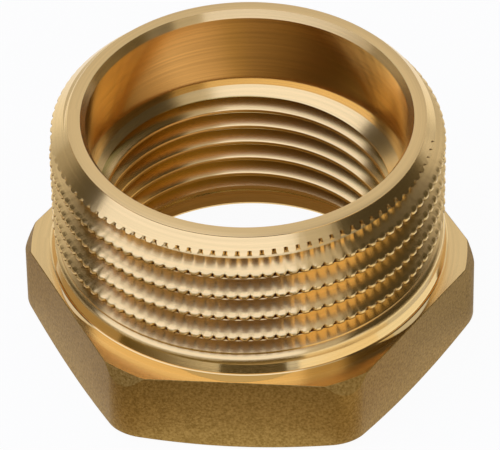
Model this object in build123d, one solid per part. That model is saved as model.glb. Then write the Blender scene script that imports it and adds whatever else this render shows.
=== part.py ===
from build123d import *
import math
import os

# ---------------------------------------------------------------- sizes (mm)
# Pipe threads, parallel, 55 degree form.
MALE_MAJOR_DIAMETER = 33.249
MALE_PITCH = 2.309
FEMALE_MAJOR_DIAMETER = 26.441
FEMALE_PITCH = 1.814
THREAD_DEPTH_PER_PITCH = 0.640327
CREST_WIDTH_PER_PITCH = 1 / 6
THREAD_HALF_ANGLE = 27.5

# Overall lengths.
TOTAL_LENGTH = 22.0
HEX_LENGTH = 7.4
COLLAR_LENGTH = 0.85
NECK_LENGTH = 0.9

# Hexagon.
ACROSS_FLATS = 34.0
HEX_CORNER_RADIUS = 3.0
BOTTOM_CORNER_ANGLE = 19.0
TOP_CORNER_SETBACK = 0.55
TOP_CORNER_HEIGHT = 1.1

# Plain turned diameters beside the male thread.
COLLAR_BELOW_FLATS = 0.2
NECK_BELOW_MAJOR = 0.35

# Rim of the male end.
RIM_LEAD_CHAMFER = 1.62
RIM_EDGE_BREAK_WIDTH = 0.3
RIM_EDGE_BREAK_DROP = 0.1
RIM_INNER_CHAMFER_WIDTH = 0.42
RIM_INNER_CHAMFER_DEPTH = 0.65

# Counterbore in the male end and its lead into the female thread.
COUNTERBORE_OVER_THREAD = 0.6
COUNTERBORE_DEPTH = 7.7
COUNTERBORE_LEDGE = 0.4
LEAD_CONE_DEPTH = 0.68

# Entry of the female thread in the hexagon end.
ENTRY_OVER_THREAD = 1.0
ENTRY_DEPTH = 1.2
ENTRY_CONE_HEIGHT = 2.6

# Where the male groove ends: its height at a given turn angle. It then
# rises out of the barrel over a part of a turn.
MALE_GROOVE_HEIGHT = 10.2
MALE_GROOVE_ANGLE = 180.0
RUNOUT_ANGLE = 85.0
RUNOUT_OVERLAP_ANGLE = 6.0
RUNOUT_STATIONS = 10

# Working allowances of the thread cutter.
CUTTER_STAND_OUT = 0.15
CUTTER_INSET = 0.01
SPARE_TURNS = 3

# ------------------------------------------------------- sizes that follow
male_depth = THREAD_DEPTH_PER_PITCH * MALE_PITCH
female_depth = THREAD_DEPTH_PER_PITCH * FEMALE_PITCH
male_radius = MALE_MAJOR_DIAMETER / 2
male_root_radius = male_radius - male_depth
female_radius = FEMALE_MAJOR_DIAMETER / 2
female_crest_radius = female_radius - female_depth

flat_radius = ACROSS_FLATS / 2
corner_radius = (flat_radius - HEX_CORNER_RADIUS) / math.cos(math.pi / 6) + HEX_CORNER_RADIUS
collar_radius = flat_radius - COLLAR_BELOW_FLATS / 2
collar_top = HEX_LENGTH + COLLAR_LENGTH
neck_radius = male_radius - NECK_BELOW_MAJOR / 2
neck_top = collar_top + NECK_LENGTH

counterbore_radius = female_radius + COUNTERBORE_OVER_THREAD / 2
counterbore_floor = TOTAL_LENGTH - COUNTERBORE_DEPTH
ledge_radius = counterbore_radius - COUNTERBORE_LEDGE
entry_radius = female_radius + ENTRY_OVER_THREAD / 2
entry_cone_top = ENTRY_DEPTH + ENTRY_CONE_HEIGHT

rim_cone_radius = male_radius - RIM_LEAD_CHAMFER
rim_flat_radius = rim_cone_radius - RIM_EDGE_BREAK_WIDTH
rim_inner_radius = counterbore_radius + RIM_INNER_CHAMFER_WIDTH
rim_break_height = TOTAL_LENGTH - RIM_EDGE_BREAK_DROP
rim_cone_foot = rim_break_height - RIM_LEAD_CHAMFER

top_corner_radius = corner_radius - TOP_CORNER_SETBACK
bottom_corner_rise = (corner_radius - flat_radius) * math.tan(math.radians(BOTTOM_CORNER_ANGLE))


def turned(points):
    """Solid of revolution about Z from (radius, height) points."""
    outline = Polyline([(radius, 0, height) for radius, height in points], close=True)
    return revolve(make_face(outline.edges()), axis=Axis.Z)


def thread_groove(pitch, root_radius, open_radius, start_height, start_angle, turns):
    """Helical groove with a flat bottom and 55 degrees between its flanks."""
    path = Helix(pitch=pitch, height=pitch * turns, radius=root_radius)
    reach = open_radius - root_radius
    root_half = pitch * CREST_WIDTH_PER_PITCH / 2
    open_half = root_half + reach * math.tan(math.radians(THREAD_HALF_ANGLE))
    section_plane = Plane(origin=path @ 0, x_dir=(1, 0, 0), z_dir=path % 0)
    corners = [(0, -root_half), (0, root_half), (reach, open_half), (reach, -open_half)]
    section = section_plane * Polygon(corners, align=None)
    groove = sweep(section, path=path, is_frenet=True)
    return Pos(0, 0, start_height) * Rot(0, 0, start_angle) * groove


def groove_runout(pitch, root_radius, open_radius, end_height, end_angle):
    """Lower end of the groove, getting shallower until it leaves the barrel."""
    lift = open_radius + CUTTER_STAND_OUT - root_radius
    stations = []
    for station in range(RUNOUT_STATIONS + 1):
        travelled = (RUNOUT_ANGLE + RUNOUT_OVERLAP_ANGLE) * station / RUNOUT_STATIONS
        angle = end_angle + RUNOUT_OVERLAP_ANGLE - travelled
        share = max(0.0, (end_angle - angle) / RUNOUT_ANGLE)
        radius = root_radius + CUTTER_INSET + lift * share * share * (2 - share)
        height = end_height + pitch * (angle - end_angle) / 360
        turn = math.radians(angle)
        stations.append((radius * math.cos(turn), radius * math.sin(turn), height))
    path = Spline(*stations)
    reach = open_radius - root_radius
    root_half = pitch * CREST_WIDTH_PER_PITCH / 2 - CUTTER_INSET
    open_half = root_half + reach * math.tan(math.radians(THREAD_HALF_ANGLE))
    first_turn = math.radians(end_angle + RUNOUT_OVERLAP_ANGLE)
    outward = (math.cos(first_turn), math.sin(first_turn), 0)
    section_plane = Plane(origin=path @ 0, x_dir=outward, z_dir=path % 0)
    corners = [(0, -root_half), (0, root_half), (reach, open_half), (reach, -open_half)]
    section = section_plane * Polygon(corners, align=None)
    return sweep(section, path=path, is_frenet=True)


# ------------------------------------------------------------ threaded barrel
# A long rod takes the male thread first; the turned outlines then trim it.
# The female thread is left at its drilled size, which is its crest radius.
male_turns = (TOTAL_LENGTH + MALE_PITCH - MALE_GROOVE_HEIGHT) / MALE_PITCH
male_groove = thread_groove(
    MALE_PITCH,
    male_root_radius,
    male_radius + CUTTER_STAND_OUT,
    MALE_GROOVE_HEIGHT,
    MALE_GROOVE_ANGLE,
    male_turns,
)
male_runout = groove_runout(
    MALE_PITCH,
    male_root_radius,
    male_radius + CUTTER_STAND_OUT,
    MALE_GROOVE_HEIGHT,
    MALE_GROOVE_ANGLE,
)
spare = SPARE_TURNS * MALE_PITCH
rod = turned(
    [
        (0, -spare),
        (male_radius, -spare),
        (male_radius, TOTAL_LENGTH + spare),
        (0, TOTAL_LENGTH + spare),
    ]
)
rod = rod - male_groove
rod = rod - male_runout

outline_reach = male_radius + CUTTER_STAND_OUT * 2
outline_reach_height = rim_break_height - (outline_reach - rim_cone_radius)
barrel_outline = turned(
    [
        (0, 0),
        (neck_radius, 0),
        (neck_radius, neck_top),
        (outline_reach, neck_top),
        (outline_reach, outline_reach_height),
        (rim_cone_radius, rim_break_height),
        (rim_flat_radius, TOTAL_LENGTH),
        (0, TOTAL_LENGTH),
    ]
)

bore_outline = turned(
    [
        (0, -spare),
        (entry_radius, -spare),
        (entry_radius, ENTRY_DEPTH),
        (female_crest_radius, entry_cone_top),
        (female_crest_radius, counterbore_floor - LEAD_CONE_DEPTH),
        (ledge_radius, counterbore_floor),
        (counterbore_radius, counterbore_floor),
        (counterbore_radius, TOTAL_LENGTH - RIM_INNER_CHAMFER_DEPTH),
        (rim_inner_radius, TOTAL_LENGTH),
        (rim_inner_radius, TOTAL_LENGTH + spare),
        (0, TOTAL_LENGTH + spare),
    ]
)
barrel = (rod & barrel_outline) - bore_outline

# ---------------------------------------------------------- hexagon and collar
hex_section = RegularPolygon(flat_radius, 6, major_radius=False)
hex_section = fillet(hex_section.vertices(), HEX_CORNER_RADIUS)
hex_block = extrude(hex_section, HEX_LENGTH)
hex_corners = turned(
    [
        (0, 0),
        (flat_radius, 0),
        (corner_radius, bottom_corner_rise),
        (corner_radius, HEX_LENGTH - TOP_CORNER_HEIGHT),
        (top_corner_radius, HEX_LENGTH),
        (0, HEX_LENGTH),
    ]
)
collar = turned(
    [
        (0, 0),
        (collar_radius, 0),
        (collar_radius, collar_top),
        (0, collar_top),
    ]
)
ring_bore_radius = (neck_radius + entry_radius) / 2
ring_bore = turned([(0, -spare), (ring_bore_radius, -spare), (ring_bore_radius, spare * 2), (0, spare * 2)])
hex_ring = ((hex_block & hex_corners) + collar) - ring_bore

bushing = barrel + hex_ring

os.makedirs("parts", exist_ok=True)
export_step(bushing, "parts/bushing.step")
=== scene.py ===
import math
import random

import bmesh
import bpy
from mathutils import Matrix, Vector


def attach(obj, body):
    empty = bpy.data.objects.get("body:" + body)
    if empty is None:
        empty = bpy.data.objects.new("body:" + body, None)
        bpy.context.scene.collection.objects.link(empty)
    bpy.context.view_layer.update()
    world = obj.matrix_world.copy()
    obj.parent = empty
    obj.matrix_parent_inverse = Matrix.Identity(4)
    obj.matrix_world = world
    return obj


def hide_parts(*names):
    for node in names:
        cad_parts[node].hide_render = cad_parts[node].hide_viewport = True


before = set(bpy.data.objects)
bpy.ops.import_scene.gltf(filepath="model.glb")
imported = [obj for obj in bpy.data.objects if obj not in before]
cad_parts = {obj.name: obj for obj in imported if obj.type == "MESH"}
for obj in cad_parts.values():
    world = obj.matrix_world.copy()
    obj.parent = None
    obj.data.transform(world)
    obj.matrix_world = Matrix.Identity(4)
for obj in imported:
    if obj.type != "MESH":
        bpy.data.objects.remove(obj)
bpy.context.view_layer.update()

# ------------------------------------------------------------------ sizes (mm)
MM = 0.001
MALE_RADIUS = 16.6245
MALE_PITCH = 2.309
FEMALE_RADIUS = 13.2205
FEMALE_PITCH = 1.814
DEPTH_PER_PITCH = 0.640327
FLAT_PER_PITCH = 1 / 6
FLANK_SLOPE = math.tan(math.radians(27.5))
FLANK_LEAN = math.radians(90 - 27.5)

TOTAL_LENGTH = 22.0
HEX_LENGTH = 7.4
COLLAR_TOP = 8.25
NECK_TOP = 9.15
COLLAR_RADIUS = 16.9
NECK_RADIUS = 16.45
NECK_FLARE = 0.3

FLAT_RADIUS = 17.0
HEX_CORNER_ROUND = 3.0
BOTTOM_FACE_RADIUS = 16.85
BOTTOM_CORNER_SLOPE = math.tan(math.radians(19.0))
TOP_FACE_RADIUS = 18.616
TOP_CORNER_SLOPE = 2.0

RIM_CONE_RADIUS = 15.0
RIM_FLAT_RADIUS = 14.7
RIM_BREAK_DROP = 0.1
RIM_STEP = 0.06
RIM_BORE_RADIUS = 13.94
RIM_BORE_DEPTH = 0.65
COUNTERBORE_RADIUS = 13.5205
COUNTERBORE_FLOOR = 14.3
LEDGE_RADIUS = 13.1205
LEAD_CONE_DEPTH = 0.68
ENTRY_RADIUS = 13.7205
ENTRY_DEPTH = 1.2
ENTRY_CONE_TOP = 3.8

# The small breaks on the edges, how near a cone a vertex counts as on it, and the
# slack with which places are compared.
EDGE = 0.06
ON_CONE = 0.002
NEAR = 0.001
ON_PLANE = 1e-5

# The thread's rounding: the leans, in degrees from the crest's top or the root's
# bottom, at which its arcs have a row of points. The last land is rounded more.
ROUND_PER_PITCH = 0.1373
CREST_LEANS = (8, 28, 50)
ROOT_LEANS = (50, 15)
LAST_LAND_ROUND = 0.6
LAST_LAND_SHIFT = 0.17
LAST_LAND_DROP = 0.45

# Depths below the crests at which the flanks have rows of points of their own.
FLANK_LEVEL = 0.45
BORE_FLANK_LEVELS = (0.14, 1.0)
BORE_CREST_ROUND = 0.1

# The thread's serration: axial notches in the crests, none on the last land. Widths
# are shares of the space between notches, and places below a crest, down to where
# its underside starts, are shares of the pitch.
NOTCHES = 100
NOTCH_STEPS = 6
NOTCH_SEED = 11
NOTCH_DEPTH = 0.39
NOTCH_DEPTH_RANGE = (0.8, 1.15)
NOTCH_TOP_HALF_WIDTH = 0.14
NOTCH_WIDENING = 0.2
NOTCH_START = -0.2
NOTCH_REACH = 0.24
UNDER_CREST = 0.055
NOTCH_FIRST_ANGLE = 1.34
NOTCH_LOWEST = 10.9
NOTCH_FADE = 0.25
NOTCH_HIGHEST = 21.3

# Where the lead chamfer cuts the crests, the notches are narrower and shallower.
RIM_NOTCH_HALF_WIDTH = 0.2
RIM_NOTCH_SHARE = 0.7

# Where the grooves lie, with how many turns in all and how many below the given
# height, and how the male groove rises out of the barrel.
SEAM_NOTCH = 26
SEAM_ANGLE = NOTCH_FIRST_ANGLE + SEAM_NOTCH * 360 / NOTCHES
MALE_RUNOUT_HEIGHT = 9.66
MALE_TURNS = 8
MALE_TURNS_BELOW = 1
RUNOUT_TURN = 85 / 360
FEMALE_GROOVE_HEIGHT = 13.08
FEMALE_TURNS = 9
FEMALE_TURNS_BELOW = 7
SHALLOW_FROM = 13.3
SHALLOW_OVER = 0.7

# How finely the threads are divided round the axis, and how near points are joined.
COLUMNS = NOTCHES * NOTCH_STEPS
BORE_COLUMNS = 300
SECTORS = 20
BAND_MERGE = 0.004
FINAL_MERGE = 0.0008

# Each cone is the places where height + slope * radius equals its level.
CHAMFER_SLOPE = 1
CHAMFER_LEVEL = RIM_CONE_RADIUS + TOTAL_LENGTH - RIM_BREAK_DROP - RIM_STEP

male_depth = DEPTH_PER_PITCH * MALE_PITCH
female_depth = DEPTH_PER_PITCH * FEMALE_PITCH
male_root_radius = MALE_RADIUS - male_depth
female_crest_radius = FEMALE_RADIUS - female_depth
lead_slope = -LEAD_CONE_DEPTH / (LEDGE_RADIUS - female_crest_radius)
lead_level = COUNTERBORE_FLOOR + lead_slope * LEDGE_RADIUS
entry_slope = (ENTRY_CONE_TOP - ENTRY_DEPTH) / (ENTRY_RADIUS - female_crest_radius)
entry_level = ENTRY_DEPTH + entry_slope * ENTRY_RADIUS


# ------------------------------------------------------------- mesh operations
def radius_of(vert):
    return math.hypot(vert.co.x, vert.co.y)


def set_radius(vert, radius):
    scale = radius / radius_of(vert)
    vert.co.x *= scale
    vert.co.y *= scale


def on_cone(piece, slope, level):
    """Whether an edge or a face has all its vertices on a cone."""
    return all(abs(vert.co.z + slope * radius_of(vert) - level) < ON_CONE for vert in piece.verts)


def parts_of(geometry, kind):
    """The vertices, edges or faces among what an operator gives back."""
    return [item for item in geometry if isinstance(item, kind)]


def turned_ring(bm, columns, radius, height):
    """A closed ring of edges that starts or ends a turned surface."""
    made = bmesh.ops.create_circle(
        bm,
        cap_ends=False,
        segments=columns,
        radius=radius,
        matrix=Matrix.Rotation(math.radians(SEAM_ANGLE), 4, "Z"),
    )
    for vert in made["verts"]:
        vert.co.z = height
    ring = set()
    for vert in made["verts"]:
        ring.update(vert.link_edges)
    return list(ring)


def next_ring(bm, ring, place):
    """Extrude a ring and put each new vertex at place(angle) = (radius, height)."""
    made = bmesh.ops.extrude_edge_only(bm, edges=ring)["geom"]
    verts = parts_of(made, bmesh.types.BMVert)
    for vert in verts:
        radius, height = place(math.atan2(vert.co.y, vert.co.x))
        set_radius(vert, radius)
        vert.co.z = height
    new = set(verts)
    return [
        edge
        for edge in parts_of(made, bmesh.types.BMEdge)
        if edge.verts[0] in new and edge.verts[1] in new
    ]


def turn_profile(bm, ring, points):
    """Carry a ring along a turned profile of (radius, height) points."""
    for radius, height in points:
        ring = next_ring(bm, ring, lambda angle: (radius, height))
    return ring


def shear(verts, slope):
    """Lift each vertex by slope times its radius, which makes a cone a flat plane."""
    for vert in verts:
        vert.co.z += slope * radius_of(vert)


def trim_on_cone(bm, slope, level, above):
    """Cut away what lies above a cone, or else what lies below it."""
    shear(bm.verts, slope)
    bmesh.ops.bisect_plane(
        bm,
        geom=bm.verts[:] + bm.edges[:] + bm.faces[:],
        dist=ON_PLANE,
        plane_co=(0, 0, level),
        plane_no=(0, 0, 1),
        clear_outer=above,
        clear_inner=not above,
    )
    shear(bm.verts, -slope)


def fill_on_cone(bm, slope, edges):
    """Fill between closed loops that all lie on one cone."""
    verts = set()
    for edge in edges:
        verts.update(edge.verts)
    shear(verts, slope)
    bmesh.ops.triangle_fill(bm, use_beauty=True, edges=edges, normal=(0, 0, 1))
    shear(verts, -slope)


def add_mesh(bm, other):
    """Copy another bmesh into this one."""
    carrier = bpy.data.meshes.new("carrier")
    other.to_mesh(carrier)
    other.free()
    bm.from_mesh(carrier)
    bpy.data.meshes.remove(carrier)


# ------------------------------------------------------------------ the threads
def arc_centre(pitch, crest_round):
    """How far from a groove's middle a crest arc's centre lies, along the axis."""
    half_open = pitch * FLAT_PER_PITCH / 2 + DEPTH_PER_PITCH * pitch * FLANK_SLOPE
    reach = math.sin(FLANK_LEAN) - (1 - math.cos(FLANK_LEAN)) * FLANK_SLOPE
    return half_open + crest_round * reach


def groove_side(pitch, crest_round, levels):
    """Half a groove's (depth, width) points: crest arc, flank levels, root arc."""
    depth = DEPTH_PER_PITCH * pitch
    arc = ROUND_PER_PITCH * pitch
    root_half = pitch * FLAT_PER_PITCH / 2
    points = []
    for lean in CREST_LEANS:
        turn = math.radians(lean)
        width = arc_centre(pitch, crest_round) - crest_round * math.sin(turn)
        points.append((crest_round * (1 - math.cos(turn)), width))
    for level in levels:
        points.append((level, root_half + (depth - level) * FLANK_SLOPE))
    for lean in ROOT_LEANS:
        turn = math.radians(lean)
        points.append((depth - arc * (1 - math.cos(turn)), arc * math.sin(turn)))
    return points


def groove_rows(crest_radius, outward, centre, side):
    """One groove's (radius, height) points, from its lower edge to its upper."""
    rows = [(crest_radius - outward * depth, centre - width) for depth, width in side]
    rows += [(crest_radius - outward * depth, centre + width) for depth, width in reversed(side)]
    return rows


def helical_band(rows, pitch, columns):
    """Spin a profile of several pitches through one turn, rising by one pitch."""
    bm = bmesh.new()
    turn = Matrix.Rotation(math.radians(SEAM_ANGLE), 4, "Z")
    verts = [bm.verts.new(turn @ Vector((radius, 0, height))) for radius, height in rows]
    edges = [bm.edges.new(pair) for pair in zip(verts, verts[1:])]
    bmesh.ops.spin(
        bm,
        geom=verts + edges,
        cent=(0, 0, 0),
        axis=(0, 0, 1),
        dvec=(0, 0, pitch / columns),
        angle=math.tau / SECTORS,
        steps=columns // SECTORS,
        use_merge=False,
    )
    sector = bm.verts[:] + bm.edges[:] + bm.faces[:]
    for number in range(1, SECTORS):
        share = number / SECTORS
        copy = parts_of(bmesh.ops.duplicate(bm, geom=sector)["geom"], bmesh.types.BMVert)
        onward = Matrix.Rotation(math.tau * share, 3, "Z")
        bmesh.ops.rotate(bm, verts=copy, cent=(0, 0, 0), matrix=onward)
        bmesh.ops.translate(bm, verts=copy, vec=(0, 0, pitch * share))
    bmesh.ops.remove_doubles(bm, verts=bm.verts, dist=BAND_MERGE)
    return bm


def groove_place(vert):
    """A vertex's share of a turn from the male groove's end, and its rise in pitches."""
    angle = math.degrees(math.atan2(vert.co.y, vert.co.x)) - SEAM_ANGLE
    return (angle % 360) / 360, (vert.co.z - MALE_RUNOUT_HEIGHT) / MALE_PITCH


def turns_from_runout(vert):
    """How many turns up the male groove a vertex lies from where it runs out."""
    share, rise = groove_place(vert)
    return round(rise - share) + share


def run_out(bm):
    """Let the male groove's lower end get shallower until it leaves the barrel."""
    for vert in bm.verts:
        share = 1 - turns_from_runout(vert) / RUNOUT_TURN
        if share > 0:
            share = min(share, 1)
            floor = male_root_radius + male_depth * share * share * (2 - share)
            if radius_of(vert) < floor:
                set_radius(vert, min(floor, MALE_RADIUS))


def round_last_land(bm):
    """Round the plain land below the last groove more than the other crests."""
    centre = arc_centre(MALE_PITCH, LAST_LAND_ROUND) + LAST_LAND_SHIFT
    for vert in bm.verts:
        share, rise = groove_place(vert)
        along = centre + (rise - share) * MALE_PITCH
        if 0 < along < LAST_LAND_ROUND:
            depth = LAST_LAND_ROUND - math.sqrt(LAST_LAND_ROUND**2 - along**2)
            floor = MALE_RADIUS - min(depth, LAST_LAND_DROP)
            if radius_of(vert) > floor:
                set_radius(vert, floor)


def notch_crests(bm):
    """Press axial notches into the crests, deeper downward, and mark where shade is painted.

    The vertex layer holds painted shade: it marks the notches and the crests' undersides, which the
    finish paints darker.
    """
    dice = random.Random(NOTCH_SEED)
    depths = [NOTCH_DEPTH * dice.uniform(*NOTCH_DEPTH_RANGE) for _ in range(NOTCHES * MALE_TURNS)]
    worn = bm.verts.layers.float.new("worn")
    for vert in bm.verts:
        height = vert.co.z
        fade = min(max((height - NOTCH_LOWEST) / NOTCH_FADE, 0), 1)
        if fade == 0 or height > NOTCH_HIGHEST:
            continue
        share, rise = groove_place(vert)
        below_crest = 0.5 - (rise - share) % 1
        surface = min(MALE_RADIUS, CHAMFER_LEVEL - height)
        on_chamfer = surface < MALE_RADIUS
        on_flank = radius_of(vert) < MALE_RADIUS - FLANK_LEVEL + EDGE
        pressed = below_crest >= UNDER_CREST if on_chamfer else not on_flank
        below_level = radius_of(vert) < MALE_RADIUS - FLANK_LEVEL - EDGE
        if not pressed and (on_chamfer or below_level):
            continue
        if below_crest > UNDER_CREST and not on_flank:
            vert[worn] = fade
        angle = math.degrees(math.atan2(vert.co.y, vert.co.x)) - NOTCH_FIRST_ANGLE
        place = (angle % 360) * NOTCHES / 360
        strength = fade * min(max((below_crest - NOTCH_START) / NOTCH_REACH, 0), 1)
        half_width = NOTCH_TOP_HALF_WIDTH + NOTCH_WIDENING * strength
        if on_chamfer:
            half_width = RIM_NOTCH_HALF_WIDTH
            strength *= RIM_NOTCH_SHARE
        inside = 1 - abs(place - round(place)) / half_width
        if strength == 0 or inside <= 0:
            continue
        depth = depths[(round(place) + NOTCHES * round(rise - share)) % len(depths)]
        floor = surface - strength * depth * inside
        if not pressed:
            vert[worn] = inside * strength
        elif radius_of(vert) > floor:
            set_radius(vert, floor)
            vert[worn] = inside * strength


def male_thread():
    """The male thread's band, cut to the neck below and the lead chamfer above."""
    side = groove_side(MALE_PITCH, ROUND_PER_PITCH * MALE_PITCH, [FLANK_LEVEL])
    rows = []
    for turn in range(MALE_TURNS):
        centre = MALE_RUNOUT_HEIGHT + MALE_PITCH * (turn - MALE_TURNS_BELOW)
        rows += groove_rows(MALE_RADIUS, 1, centre, side)
    bm = helical_band(rows, MALE_PITCH, COLUMNS)
    run_out(bm)
    round_last_land(bm)
    notch_crests(bm)
    trim_on_cone(bm, 0, NECK_TOP, above=False)
    trim_on_cone(bm, CHAMFER_SLOPE, CHAMFER_LEVEL, above=True)
    return bm


def keep_under_ledge(bm):
    """Make the top of the female groove a little shallower, to stay inside the ledge."""
    for vert in bm.verts:
        share = min(max((vert.co.z - SHALLOW_FROM) / SHALLOW_OVER, 0), 1)
        most = FEMALE_RADIUS - share * (FEMALE_RADIUS - LEDGE_RADIUS + EDGE)
        if radius_of(vert) > most:
            set_radius(vert, most)


def female_thread():
    """The female thread's band, cut to its lead cone above and its entry below."""
    side = groove_side(FEMALE_PITCH, BORE_CREST_ROUND, BORE_FLANK_LEVELS)
    rows = []
    for turn in range(FEMALE_TURNS):
        centre = FEMALE_GROOVE_HEIGHT + FEMALE_PITCH * (turn - FEMALE_TURNS_BELOW)
        rows += groove_rows(female_crest_radius, -1, centre, side)
    bm = helical_band(rows, FEMALE_PITCH, BORE_COLUMNS)
    keep_under_ledge(bm)
    trim_on_cone(bm, lead_slope, lead_level, above=True)
    trim_on_cone(bm, entry_slope, entry_level, above=False)
    return bm


# ------------------------------------------------------------------- the hexagon
def hex_radius(angle):
    """Radius of the rounded hexagon's outline, with flats across Y."""
    turn = math.radians(60)
    off_corner = abs((angle + turn / 2) % turn - turn / 2)
    centre = (FLAT_RADIUS - HEX_CORNER_ROUND) / math.cos(turn / 2)
    on_flat = FLAT_RADIUS / math.cos(turn / 2 - off_corner)
    tangent = math.atan2(centre * math.sin(turn / 2), FLAT_RADIUS)
    if turn / 2 - off_corner <= tangent:
        return on_flat
    side = centre * math.sin(off_corner)
    return centre * math.cos(off_corner) + math.sqrt(HEX_CORNER_ROUND**2 - side**2)


def hex_rings(bm, ring):
    """From the collar's foot over the top face, down the flats and under the bottom."""

    def top_height(angle):
        return HEX_LENGTH - max(0, hex_radius(angle) - TOP_FACE_RADIUS) * TOP_CORNER_SLOPE

    def bottom_height(angle):
        return (hex_radius(angle) - BOTTOM_FACE_RADIUS) * BOTTOM_CORNER_SLOPE

    places = [
        lambda angle: (min(hex_radius(angle), TOP_FACE_RADIUS) - EDGE, HEX_LENGTH),
        lambda angle: (hex_radius(angle) - EDGE / 3, top_height(angle) - EDGE / 3),
        lambda angle: (hex_radius(angle), top_height(angle) - EDGE),
        lambda angle: (hex_radius(angle), bottom_height(angle) + EDGE),
        lambda angle: (hex_radius(angle) - EDGE / 2, bottom_height(angle)),
        lambda angle: (BOTTOM_FACE_RADIUS, 0),
    ]
    for place in places:
        ring = next_ring(bm, ring, place)
    return ring


# ------------------------------------------------------------------- the bushing
def open_loops(bm, inside):
    """The open edges whose middle passes a test of (radius, height)."""
    found = []
    for edge in bm.edges:
        if len(edge.link_faces) == 1:
            middle = (edge.verts[0].co + edge.verts[1].co) / 2
            if inside(math.hypot(middle.x, middle.y), middle.z):
                found.append(edge)
    return found


def build_bushing():
    """The whole skin: down the outside from the thread, then from the rim into the bore."""
    bm = male_thread()
    neck_loop = open_loops(bm, lambda radius, height: height < NECK_TOP + NEAR)
    chamfer_loop = open_loops(bm, lambda radius, height: height > NECK_TOP + NEAR)

    foot = turn_profile(
        bm,
        neck_loop,
        [
            (NECK_RADIUS, NECK_TOP),
            (NECK_RADIUS + NECK_FLARE, COLLAR_TOP),
            (COLLAR_RADIUS - EDGE, COLLAR_TOP),
            (COLLAR_RADIUS, COLLAR_TOP - EDGE),
            (COLLAR_RADIUS, HEX_LENGTH),
        ],
    )
    bottom = hex_rings(bm, foot)
    turn_profile(
        bm,
        bottom,
        [(ENTRY_RADIUS + EDGE, 0), (ENTRY_RADIUS, EDGE), (ENTRY_RADIUS, ENTRY_DEPTH)],
    )

    rim = turned_ring(bm, COLUMNS, RIM_CONE_RADIUS, CHAMFER_LEVEL - RIM_CONE_RADIUS)
    fill_on_cone(bm, CHAMFER_SLOPE, chamfer_loop + rim)
    turn_profile(
        bm,
        rim,
        [
            (RIM_CONE_RADIUS, TOTAL_LENGTH - RIM_BREAK_DROP),
            (RIM_FLAT_RADIUS, TOTAL_LENGTH),
            (RIM_BORE_RADIUS, TOTAL_LENGTH),
            (COUNTERBORE_RADIUS, TOTAL_LENGTH - RIM_BORE_DEPTH),
            (COUNTERBORE_RADIUS, COUNTERBORE_FLOOR),
            (LEDGE_RADIUS, COUNTERBORE_FLOOR),
        ],
    )

    add_mesh(bm, female_thread())
    in_bore = open_loops(bm, lambda radius, height: radius < ENTRY_RADIUS + EDGE)
    lead_loop = [edge for edge in in_bore if on_cone(edge, lead_slope, lead_level)]
    entry_loop = [edge for edge in in_bore if on_cone(edge, entry_slope, entry_level)]
    fill_on_cone(bm, lead_slope, lead_loop)
    fill_on_cone(bm, entry_slope, entry_loop)

    bmesh.ops.remove_doubles(bm, verts=bm.verts, dist=FINAL_MERGE)
    bmesh.ops.recalc_face_normals(bm, faces=bm.faces)
    return bm


# ---------------------------------------------------------------- the finishes
BRASS = (0.92, 0.65, 0.28)
# Painted shade in the thread's notches and under its crests.
PAINTED_NOTCH_SHADE = (0.2, 0.105, 0.03)
# Painted shade toward the bottom of the bore's grooves.
PAINTED_GROOVE_SHADE = (0.6, 0.46, 0.16)
SPECK_DARK = (0.27, 0.155, 0.032)
SPECK_LIGHT = (0.46, 0.285, 0.08)
WHITE = (1.0, 1.0, 1.0)

# A quarter of a turn sets the spread of reflections across the lathe marks.
ACROSS_MARKS = 0.25

# The lathe marks: their noise, and how the coarse shade lines differ from the fine bump.
MARK_DETAIL = 2.0
FINE_BREAKS = 2.0
COARSE_BREAKS = 1.0
COARSE_SPACING = 4
NOISE_LOW = 0.3
NOISE_HIGH = 0.7
LINE_SHADE = 0.9
COUNTERBORE_LINE_SHADE = 0.8

# Where painted shade darkens the brass: from and to which value of the thread's shade layer, and
# which radius in mm.
PAINTED_SHADE_FROM = 0.15
PAINTED_SHADE_FULL = 0.75
BORE_BRIGHT_TO = 12.25
BORE_DARK_FROM = 12.8

# The blasted grain, with scales per metre.
BLASTED_ROUGHNESS = 0.5
GRAIN_SCALE = 7000.0
GRAIN_DETAIL = 3.0
GRAIN_HEIGHT = 0.04
SPECK_SCALE = 4800.0
SPECK_DETAIL = 2.0

# Each turned finish: its name, its roughness, the spread of its reflections across
# the lathe marks, and the marks' spacing and height.
THREAD_FINISH = ("thread_brass", 0.22, 0.85, 0.06, 0.001)
CHAMFER_FINISH = ("chamfer_brass", 0.2, 0.6, 0.06, 0.0015)
RIM_FINISH = ("rim_brass", 0.42, 0.4, 0.05, 0.002)
COUNTERBORE_FINISH = ("counterbore_brass", 0.15, 0.3, 0.05, 0.001)
FACE_FINISH = ("face_brass", 0.24, 0.7, 0.08, 0.003)
COLLAR_FINISH = ("collar_brass", 0.12, 0.5, 0.05, 0.001)
ENTRY_FINISH = ("entry_brass", 0.45, 0.4, 0.05, 0.002)
BORE_FINISH = ("bore_brass", 0.2, 0.7, 0.05, 0.0015)

# Which finish a face gets: how far its middle may lie past a border, how upright its
# normal is where it is level, part of a cone or part of a wall, and how far below the
# rim's flat the lead chamfer may reach.
BORDER = 0.01
MARGIN = 0.1
LEVEL_NORMAL = 0.95
CONE_NORMAL_LOW = 0.6
CONE_NORMAL_HIGH = 0.8
WALL_NORMAL = 0.1
CHAMFER_REACH = 1.7

# An edge is kept sharp from this angle on, in degrees.
SHARP_ANGLE = 24


def node(tree, kind, inputs=None, **settings):
    """Add a node, set its properties, and set or link its inputs."""
    made = tree.nodes.new(kind)
    for name, value in settings.items():
        setattr(made, name, value)
    for name, value in (inputs or {}).items():
        if isinstance(value, bpy.types.NodeSocket):
            tree.links.new(value, made.inputs[name])
        else:
            made.inputs[name].default_value = value
    return made


def math_node(tree, operation, first, second=0.0):
    """The result of one sum."""
    return node(tree, "ShaderNodeMath", {0: first, 1: second}, operation=operation).outputs[0]


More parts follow.
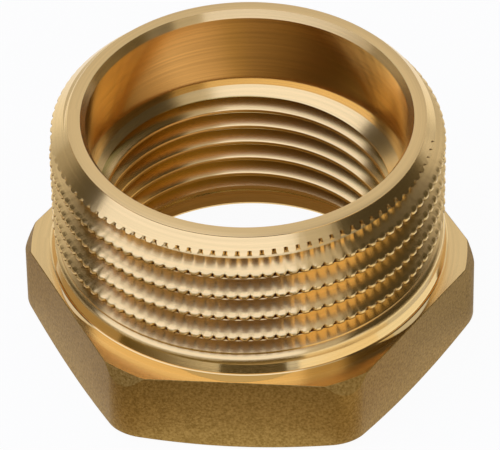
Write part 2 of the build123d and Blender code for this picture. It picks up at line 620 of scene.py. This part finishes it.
def ramp(tree, value, start, end):
    """0 below start, 1 above end, smooth between; start may be the greater."""
    limits = {"Value": value, "From Min": start, "From Max": end, "To Min": 0.0, "To Max": 1.0}
    return node(tree, "ShaderNodeMapRange", limits, interpolation_type="SMOOTHSTEP").outputs[0]


def mix_colours(tree, share, first, second):
    """A colour that goes from the first to the second as share goes from 0 to 1."""
    inputs = {0: share, 6: first, 7: second}
    return node(tree, "ShaderNodeMix", inputs, data_type="RGBA").outputs[2]


def object_place(tree):
    """The coordinates in the piece's own space, in metres."""
    return node(tree, "ShaderNodeTexCoord").outputs["Object"]


def new_metal(name, roughness, spread=0.0):
    """A bare metal material, with its tree and its shader.

    spread widens its reflections across the lathe marks, which run round the axis.
    """
    material = bpy.data.materials.new(name)
    material.use_nodes = True
    tree = material.node_tree
    shader = tree.nodes["Principled BSDF"]
    shader.inputs["Base Color"].default_value = (*BRASS, 1)
    shader.inputs["Metallic"].default_value = 1.0
    shader.inputs["Roughness"].default_value = roughness
    shader.inputs["Anisotropic"].default_value = spread
    shader.inputs["Anisotropic Rotation"].default_value = ACROSS_MARKS
    tangent = node(tree, "ShaderNodeTangent", direction_type="RADIAL", axis="Z")
    tree.links.new(tangent.outputs[0], shader.inputs["Tangent"])
    return material, tree, shader


def radius_from(tree, parts):
    """The distance from the axis, in metres, from separated coordinates."""
    across = math_node(tree, "MULTIPLY", parts.outputs[0], parts.outputs[0])
    along = math_node(tree, "MULTIPLY", parts.outputs[1], parts.outputs[1])
    return math_node(tree, "SQRT", math_node(tree, "ADD", across, along))


def lathe_lines(tree, spacing, breaks):
    """Noise in lines round the axis, which break up more along the turn as breaks grows."""
    parts = node(tree, "ShaderNodeSeparateXYZ", {0: object_place(tree)})
    radius = radius_from(tree, parts)
    turn = math_node(tree, "ARCTAN2", parts.outputs[1], parts.outputs[0])
    per_mark = 1 / (spacing * MM)
    scaled = node(
        tree,
        "ShaderNodeCombineXYZ",
        {
            0: math_node(tree, "MULTIPLY", radius, per_mark),
            1: math_node(tree, "MULTIPLY", parts.outputs[2], per_mark),
            2: math_node(tree, "MULTIPLY", turn, breaks),
        },
    )
    inputs = {"Vector": scaled.outputs[0], "Scale": 1.0, "Detail": MARK_DETAIL}
    return node(tree, "ShaderNodeTexNoise", inputs).outputs["Fac"]


def bump_by(tree, shader, level, height):
    """Raise the surface by up to height where a noise level is high."""
    inputs = {"Strength": 1.0, "Distance": height * MM, "Height": level}
    bump = node(tree, "ShaderNodeBump", inputs)
    tree.links.new(bump.outputs[0], shader.inputs["Normal"])


def shade_by(tree, shader, level, dark, light):
    """Let the base colour run from dark to light as a noise level rises."""
    limits = {"Value": level, "From Min": NOISE_LOW, "From Max": NOISE_HIGH}
    share = node(tree, "ShaderNodeMapRange", limits).outputs[0]
    colour = mix_colours(tree, share, (*dark, 1), (*light, 1))
    tree.links.new(colour, shader.inputs["Base Color"])


def turned_brass(name, roughness, spread, spacing, height, line_shade=LINE_SHADE):
    """Turned brass: lathe marks in the bump, and faintly darker lines."""
    material, tree, shader = new_metal(name, roughness, spread)
    bump_by(tree, shader, lathe_lines(tree, spacing, FINE_BREAKS), height)
    lines = lathe_lines(tree, spacing * COARSE_SPACING, COARSE_BREAKS)
    shade_by(tree, shader, lines, [value * line_shade for value in BRASS], BRASS)
    return material


def darken(tree, share, shade):
    """Paint shade into the brass: it turns to a darker shade, also where it is seen at a glance."""
    shader = tree.nodes["Principled BSDF"]
    clean = shader.inputs["Base Color"].links[0].from_socket
    colour = mix_colours(tree, share, clean, (*shade, 1))
    tree.links.new(colour, shader.inputs["Base Color"])
    glancing = mix_colours(tree, share, (*WHITE, 1), (*shade, 1))
    tree.links.new(glancing, shader.inputs["Specular Tint"])


def notched_brass(name, roughness, spread, spacing, height):
    """Turned brass with painted shade: darker in the notches and under the crests that the mesh
    marks.
    """
    material = turned_brass(name, roughness, spread, spacing, height)
    tree = material.node_tree
    worn = node(tree, "ShaderNodeAttribute", attribute_name="worn").outputs["Fac"]
    darken(tree, ramp(tree, worn, PAINTED_SHADE_FROM, PAINTED_SHADE_FULL), PAINTED_NOTCH_SHADE)
    return material


def bore_brass(name, roughness, spread, spacing, height):
    """Turned brass with painted shade, darker toward the bottom of the bore's grooves."""
    material = turned_brass(name, roughness, spread, spacing, height)
    tree = material.node_tree
    radius = radius_from(tree, node(tree, "ShaderNodeSeparateXYZ", {0: object_place(tree)}))
    darken(tree, ramp(tree, radius, BORE_BRIGHT_TO * MM, BORE_DARK_FROM * MM), PAINTED_GROOVE_SHADE)
    return material


def blasted_brass():
    """The hexagon's sides: a fine blasted grain with darker and lighter specks."""
    material, tree, shader = new_metal("blasted_brass", BLASTED_ROUGHNESS)
    place = object_place(tree)
    grain = node(
        tree, "ShaderNodeTexNoise", {"Vector": place, "Scale": GRAIN_SCALE, "Detail": GRAIN_DETAIL}
    )
    specks = node(
        tree, "ShaderNodeTexNoise", {"Vector": place, "Scale": SPECK_SCALE, "Detail": SPECK_DETAIL}
    )
    shade_by(tree, shader, specks.outputs["Fac"], SPECK_DARK, SPECK_LIGHT)
    bump_by(tree, shader, grain.outputs["Fac"], GRAIN_HEIGHT)
    return material


def outside_finish(radius, height, upright):
    """The finish of a face of the hexagon, collar, neck or rim, or None elsewhere."""
    if height < HEX_LENGTH + BORDER and radius > COLLAR_RADIUS - MARGIN:
        return "face" if upright > LEVEL_NORMAL else "hexagon"
    if height < BORDER:
        return "face"
    if radius > NECK_RADIUS - BORDER and height < NECK_TOP + BORDER:
        return "collar"
    rim_foot = TOTAL_LENGTH - RIM_BREAK_DROP
    if height > rim_foot - BORDER and radius > RIM_BORE_RADIUS:
        return "rim"
    on_slope = CONE_NORMAL_LOW < upright < CONE_NORMAL_HIGH
    if height > rim_foot - CHAMFER_REACH and radius > RIM_CONE_RADIUS and on_slope:
        return "chamfer"
    return None


def bore_finish(face, radius, height, upright):
    """The finish of a face inside, or None elsewhere."""
    in_counterbore = COUNTERBORE_RADIUS - MARGIN / 2 < radius < RIM_BORE_RADIUS
    if in_counterbore and upright < WALL_NORMAL and height > COUNTERBORE_FLOOR:
        return "counterbore"
    if on_cone(face, lead_slope, lead_level):
        return "chamfer"
    in_recess = radius < ENTRY_RADIUS + MARGIN and height < ENTRY_DEPTH
    if in_recess or on_cone(face, entry_slope, entry_level):
        return "entry"
    if radius < ENTRY_RADIUS and height < COUNTERBORE_FLOOR:
        return "female thread"
    return None


def finish_of(face):
    """Which finish a face has, from where it lies on the bushing."""
    middle = face.calc_center_median()
    radius = math.hypot(middle.x, middle.y)
    upright = abs(face.normal.z)
    outside = outside_finish(radius, middle.z, upright)
    return outside or bore_finish(face, radius, middle.z, upright) or "male thread"


finishes = {
    "male thread": notched_brass(*THREAD_FINISH),
    "chamfer": turned_brass(*CHAMFER_FINISH),
    "rim": turned_brass(*RIM_FINISH),
    "counterbore": turned_brass(*COUNTERBORE_FINISH, COUNTERBORE_LINE_SHADE),
    "face": turned_brass(*FACE_FINISH),
    "collar": turned_brass(*COLLAR_FINISH),
    "hexagon": blasted_brass(),
    "entry": turned_brass(*ENTRY_FINISH),
    "female thread": bore_brass(*BORE_FINISH),
}


def finished_piece(name, bm):
    """Make the mesh an object in metres, with its finishes and hard edges."""
    names = list(finishes)
    for face in bm.faces:
        face.smooth = True
        face.material_index = names.index(finish_of(face))
    for edge in bm.edges:
        same = len({face.material_index for face in edge.link_faces}) == 1
        edge.smooth = same and edge.calc_face_angle(0) < math.radians(SHARP_ANGLE)
    bmesh.ops.scale(bm, vec=(MM, MM, MM), verts=bm.verts)
    mesh = bpy.data.meshes.new(name)
    bm.to_mesh(mesh)
    bm.free()
    for key in names:
        mesh.materials.append(finishes[key])
    piece = bpy.data.objects.new(name, mesh)
    bpy.context.scene.collection.objects.link(piece)
    return piece


bushing = finished_piece("bushing_dressed", build_bushing())
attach(bushing, "root")
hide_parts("bushing")

# ------------------------------------------------------------------- the camera
# Angles are in degrees. The distance, and how far aside the camera stands, are in mm
# from the middle of the bushing's top. The focal length is in pixels of a picture of
# the given width. The nearest and farthest that it sees are in metres.
CAMERA_TURN = 4.85
CAMERA_ELEVATION = 41.84
CAMERA_ROLL = 0.94
CAMERA_DISTANCE = 452.84
CAMERA_ASIDE = (0.247, -9.104)
CAMERA_FOCUS = 5436.3
PICTURE_WIDTH = 500
SENSOR_WIDTH = 36
CLIP_START = 0.01
CLIP_END = 20


def place_camera():
    """Put the camera where its angles and distances say, and make it the scene's."""
    tilt = math.radians(CAMERA_ELEVATION)
    roll = math.radians(CAMERA_ROLL)
    turn = Matrix.Rotation(math.radians(CAMERA_TURN), 4, "Z")
    forward = Vector((0, math.cos(tilt), -math.sin(tilt)))
    level = Vector((1, 0, 0))
    upward = Vector((0, math.sin(tilt), math.cos(tilt)))
    right = math.cos(roll) * level - math.sin(roll) * upward
    up = math.sin(roll) * level + math.cos(roll) * upward
    spot = CAMERA_ASIDE[0] * right + CAMERA_ASIDE[1] * up - CAMERA_DISTANCE * forward
    spot = turn @ spot + Vector((0, 0, TOTAL_LENGTH))
    axes = Matrix((turn @ right, turn @ up, -(turn @ forward))).transposed().to_4x4()
    camera = bpy.data.cameras.new("camera")
    camera.sensor_width = SENSOR_WIDTH
    camera.lens = SENSOR_WIDTH * CAMERA_FOCUS / PICTURE_WIDTH
    camera.clip_start = CLIP_START
    camera.clip_end = CLIP_END
    holder = bpy.data.objects.new("camera", camera)
    holder.matrix_world = Matrix.Translation(spot * MM) @ axes
    bpy.context.scene.collection.objects.link(holder)
    bpy.context.scene.camera = holder


place_camera()


# --------------------------------------------------------------------- the studio
# Directions are told from the camera's side: toward it, to its right, and up.
turned = Matrix.Rotation(math.radians(CAMERA_TURN), 3, "Z")
TOWARD = turned @ Vector((0, -1, 0))
RIGHT = turned @ Vector((1, 0, 0))
SMALL = 0.001

# The two softboxes are marked off on an overhead plane at unit height, each by two
# lines: a point (ahead, aside), an angle in degrees, and how soft the edge is.
BOX_LINES = (((0.09, 0.17), 24.4, 0.03), ((-0.366, -0.757), 102.3, 0.03))
DIM_BOX_LINES = (((0.04, 0.436), 40.0, 0.06), ((-0.3, 0.0), 102.3, 0.05))
BOX_LEVEL = 1.06
DIM_BOX_LEVEL = 0.55
BOX_HEIGHTS = (0.25, 0.35)

# The glow near the horizon, in steps: from and to which share of the way to the
# right the level goes over to the third number. Above it the ceiling is dark.
GLOW_LEVEL = 0.2
GLOW_STEPS = ((0.34, 0.46, 0.75), (-0.7, -0.85, 0.42), (0.85, 0.95, 0.2))
GLOW_HEIGHTS = (0.2, 0.3)
CEILING_LEVEL = 0.06

# The pale walls behind, and how their level goes from low to high up.
WALL_SIDES = (-0.58, -0.66)
WALL_TOP = (0.97, 0.85)
WALL_HEIGHTS = (0.2, 0.8)
WALL_LEVELS = (0.56, 0.78)

# The light's colour: warm where it is weak, plain between, and cool in the softbox.
WARM = (1.0, 0.85, 0.6)
PLAIN = (1.0, 0.99, 1.05)
COOL = (1.0, 1.09, 1.52)
PLAIN_LEVELS = (0.25, 0.5)
COOL_LEVELS = (0.7, 1.0)


def blend(tree, share, low, high):
    """A level that goes from low to high as share goes from 0 to 1."""
    return node(tree, "ShaderNodeMix", {0: share, 2: low, 3: high}, data_type="FLOAT").outputs[0]


def product(tree, first, second):
    return math_node(tree, "MULTIPLY", first, second)


def side_of_line(tree, ahead, aside, point, angle, soft):
    """1 to the right of a line drawn on an overhead plane at unit height."""
    turn = math.radians(angle)
    across = product(tree, math_node(tree, "SUBTRACT", ahead, point[0]), math.sin(turn))
    along = product(tree, math_node(tree, "SUBTRACT", aside, point[1]), -math.cos(turn))
    return ramp(tree, math_node(tree, "ADD", across, along), -soft, soft)


def between_lines(tree, ahead, aside, lines):
    """1 where both of two lines have it on their right."""
    first, second = lines
    return product(
        tree, side_of_line(tree, ahead, aside, *first), side_of_line(tree, ahead, aside, *second)
    )


def part_along(tree, look, axis):
    """How much of the direction looked in lies along an axis."""
    inputs = {0: look, 1: axis}
    return node(tree, "ShaderNodeVectorMath", inputs, operation="DOT_PRODUCT").outputs["Value"]


def studio_level(tree, look):
    """How bright the studio is in the direction looked in."""
    height = node(tree, "ShaderNodeSeparateXYZ", {0: look}).outputs[2]
    rise = math_node(tree, "MAXIMUM", height, SMALL)
    toward = part_along(tree, look, TOWARD)
    right = part_along(tree, look, RIGHT)
    ahead = math_node(tree, "DIVIDE", toward, rise)
    aside = math_node(tree, "DIVIDE", right, rise)
    flat = math_node(tree, "SUBTRACT", 1.0, product(tree, height, height))
    reach = math_node(tree, "MAXIMUM", math_node(tree, "SQRT", flat), SMALL)
    facing = math_node(tree, "DIVIDE", toward, reach)
    sideways = math_node(tree, "DIVIDE", right, reach)

    glow = GLOW_LEVEL
    for start, end, step_level in GLOW_STEPS:
        glow = blend(tree, ramp(tree, sideways, start, end), glow, step_level)
    level = blend(tree, ramp(tree, height, *GLOW_HEIGHTS), glow, CEILING_LEVEL)
    above = ramp(tree, height, *BOX_HEIGHTS)
    for lines, box_level in ((DIM_BOX_LINES, DIM_BOX_LEVEL), (BOX_LINES, BOX_LEVEL)):
        box = product(tree, between_lines(tree, ahead, aside, lines), above)
        level = blend(tree, box, level, box_level)
    walls = product(tree, ramp(tree, facing, *WALL_SIDES), ramp(tree, height, *WALL_TOP))
    wall_level = blend(tree, ramp(tree, height, *WALL_HEIGHTS), *WALL_LEVELS)
    return blend(tree, walls, level, wall_level)


def light_world():
    """A softbox overhead to the front left, a dim one to its right, pale walls behind."""
    world = bpy.data.worlds.new("studio")
    bpy.context.scene.world = world
    world.use_nodes = True
    tree = world.node_tree
    tree.nodes.clear()
    level = studio_level(tree, node(tree, "ShaderNodeTexCoord").outputs["Generated"])
    cool = mix_colours(tree, ramp(tree, level, *COOL_LEVELS), (*PLAIN, 1), (*COOL, 1))
    colour = mix_colours(tree, ramp(tree, level, *PLAIN_LEVELS), (*WARM, 1), cool)
    light = node(tree, "ShaderNodeBackground", {"Color": colour, "Strength": level})
    white = node(tree, "ShaderNodeBackground", {"Color": (*WHITE, 1), "Strength": 1.0})
    seen = node(tree, "ShaderNodeLightPath").outputs["Is Camera Ray"]
    mixed = node(tree, "ShaderNodeMixShader", {0: seen, 1: light.outputs[0], 2: white.outputs[0]})
    node(tree, "ShaderNodeOutputWorld", {"Surface": mixed.outputs[0]})


def stage_material(name):
    """A new material with an empty tree, for the floor and the cards."""
    material = bpy.data.materials.new(name)
    material.use_nodes = True
    material.node_tree.nodes.clear()
    return material, material.node_tree


def glow_with(tree, colour):
    """Let a card glow plainly in one colour or in the colour of a socket."""
    glow = node(tree, "ShaderNodeEmission", {"Color": colour, "Strength": 1.0})
    node(tree, "ShaderNodeOutputMaterial", {"Surface": glow.outputs[0]})


def stage_piece(name, bm, material):
    """Make a mesh a piece of the stage, which is no part of the bushing."""
    mesh = bpy.data.meshes.new(name)
    bm.to_mesh(mesh)
    bm.free()
    mesh.materials.append(material)
    piece = bpy.data.objects.new(name, mesh)
    bpy.context.scene.collection.objects.link(piece)
    return piece


# The floor under the bushing, in mm, and its look.
FLOOR_HALF_SIZE = 1500
FLOOR_DROP = 0.02
FLOOR_GREY = (0.8, 0.8, 0.8)
FLOOR_GLOW_SHARE = 0.95


def lay_floor():
    """A wide white floor that metal reflects as white and that keeps a faint shadow.

    From below it is clear, so that the underside can be looked at.
    """
    material, tree = stage_material("floor_white")
    matt = node(tree, "ShaderNodeBsdfDiffuse", {"Color": (*FLOOR_GREY, 1)})
    glow = node(tree, "ShaderNodeEmission", {"Color": (*WHITE, 1), "Strength": 1.0})
    path = node(tree, "ShaderNodeLightPath")
    seen = math_node(tree, "ADD", path.outputs["Is Camera Ray"], path.outputs["Is Glossy Ray"])
    seen = math_node(tree, "ADD", seen, path.outputs["Is Transmission Ray"])
    share = product(tree, math_node(tree, "MINIMUM", seen, 1.0), FLOOR_GLOW_SHARE)
    mixed = node(tree, "ShaderNodeMixShader", {0: share, 1: matt.outputs[0], 2: glow.outputs[0]})
    under = node(tree, "ShaderNodeNewGeometry").outputs["Backfacing"]
    clear = node(tree, "ShaderNodeBsdfTransparent")
    shown = node(tree, "ShaderNodeMixShader", {0: under, 1: mixed.outputs[0], 2: clear.outputs[0]})
    node(tree, "ShaderNodeOutputMaterial", {"Surface": shown.outputs[0]})
    bm = bmesh.new()
    bmesh.ops.create_grid(bm, x_segments=1, y_segments=1, size=FLOOR_HALF_SIZE * MM)
    bmesh.ops.translate(bm, verts=bm.verts, vec=(0, 0, -FLOOR_DROP * MM))
    stage_piece("floor", bm, material)


# The cards on the floor, which only metal sees, and what colours it sees there.
CARD_LIFT = 0.2
CARD_STEPS = 36
BLACK = (0.035, 0.03, 0.025)
UMBER = (0.1, 0.065, 0.012)
TAN = (0.4, 0.29, 0.15)
SAND = (0.62, 0.52, 0.36)
DUSK = (0.62, 0.62, 0.62)
DAWN = (0.75, 0.72, 0.7)
CREAM = (0.95, 0.85, 0.7)
BLUISH = (1.1, 1.2, 1.5)

# Each card: its name, the angles where it starts and ends, its inner and outer radius
# in mm, and its colour. The angles are in degrees from the side that faces the camera,
# and rise to the right.
CARDS = (
    ("card_near", -60, 60, 20, 27, SAND),
    ("card_dusk", 60, 120, 20, 30, DUSK),
    ("card_dawn", -120, -60, 20, 30, DAWN),
    ("card_umber", -62, 22, 27, 85, UMBER),
    ("card_tan", -115, -62, 30, 85, TAN),
    ("card_beside", 22, 60, 27, 85, CREAM),
    ("card_front", -15, 17, 87, 400, BLACK),
    ("card_white", 17, 57, 87, 400, BLUISH),
    ("card_right", 62, 125, 87, 400, BLACK),
    ("card_left", -108, -70, 87, 400, BLACK),
)

# The card under the bore, and its colour at each angle. The angles start CAMERA_TURN
# to the left of -Y, and rise to the right.
BORE_CARD_RADIUS = 16
BORE_CARD_SEGMENTS = 64
BORE_STOPS = (
    (-150, (0.2, 0.12, 0.04)),
    (-100, (0.07, 0.035, 0.008)),
    (-72, (0.1, 0.05, 0.015)),
    (-41, (0.19, 0.11, 0.04)),
    (0, (0.29, 0.18, 0.08)),
    (28, (0.40, 0.26, 0.11)),
    (60, (0.63, 0.43, 0.25)),
    (99, (0.80, 0.58, 0.38)),
    (125, (0.5, 0.33, 0.18)),
    (160, (0.2, 0.12, 0.04)),
)


def stage_card(name, bm, material):
    """Make a mesh a card that neither the camera nor the floor sees."""
    card = stage_piece(name, bm, material)
    card.visible_camera = False
    card.visible_diffuse = False
    card.visible_shadow = False


def lay_card(name, start, end, inner, outer, colour):
    """A glowing card on the floor, a part of a ring round the bushing."""
    material, tree = stage_material(name)
    glow_with(tree, (*colour, 1))
    bm = bmesh.new()
    first = math.radians(start - 90 + CAMERA_TURN)
    verts = [
        bm.verts.new((radius * MM * math.cos(first), radius * MM * math.sin(first), CARD_LIFT * MM))
        for radius in (inner, outer)
    ]
    bmesh.ops.spin(
        bm,
        geom=verts + [bm.edges.new(verts)],
        cent=(0, 0, 0),
        axis=(0, 0, 1),
        angle=math.radians(end - start),
        steps=CARD_STEPS,
    )
    stage_card(name, bm, material)


def lay_bore_card():
    """A glowing disc under the bore whose colour goes round with the angle, stop by stop."""
    material, tree = stage_material("card_bore")
    parts = node(tree, "ShaderNodeSeparateXYZ", {0: object_place(tree)})
    turn = math_node(tree, "ARCTAN2", parts.outputs[0], product(tree, parts.outputs[1], -1.0))
    limits = {"Value": turn, "From Min": -math.pi, "From Max": math.pi}
    share = node(tree, "ShaderNodeMapRange", limits).outputs[0]
    band = node(tree, "ShaderNodeValToRGB", {0: share})
    marks = band.color_ramp.elements
    for number, (angle, colour) in enumerate(BORE_STOPS):
        place = (angle - CAMERA_TURN) / 360 + 0.5
        mark = marks[0] if number == 0 else marks.new(place)
        mark.position = place
        mark.color = (*colour, 1)
    marks.remove(marks[-1])
    glow_with(tree, band.outputs[0])
    bm = bmesh.new()
    bmesh.ops.create_circle(
        bm,
        cap_ends=True,
        segments=BORE_CARD_SEGMENTS,
        radius=BORE_CARD_RADIUS * MM,
        matrix=Matrix.Translation((0, 0, CARD_LIFT * MM)),
    )
    stage_card("card_bore", bm, material)


light_world()
lay_floor()
for card in CARDS:
    lay_card(*card)
lay_bore_card()
bpy.context.scene.view_settings.view_transform = "Standard"
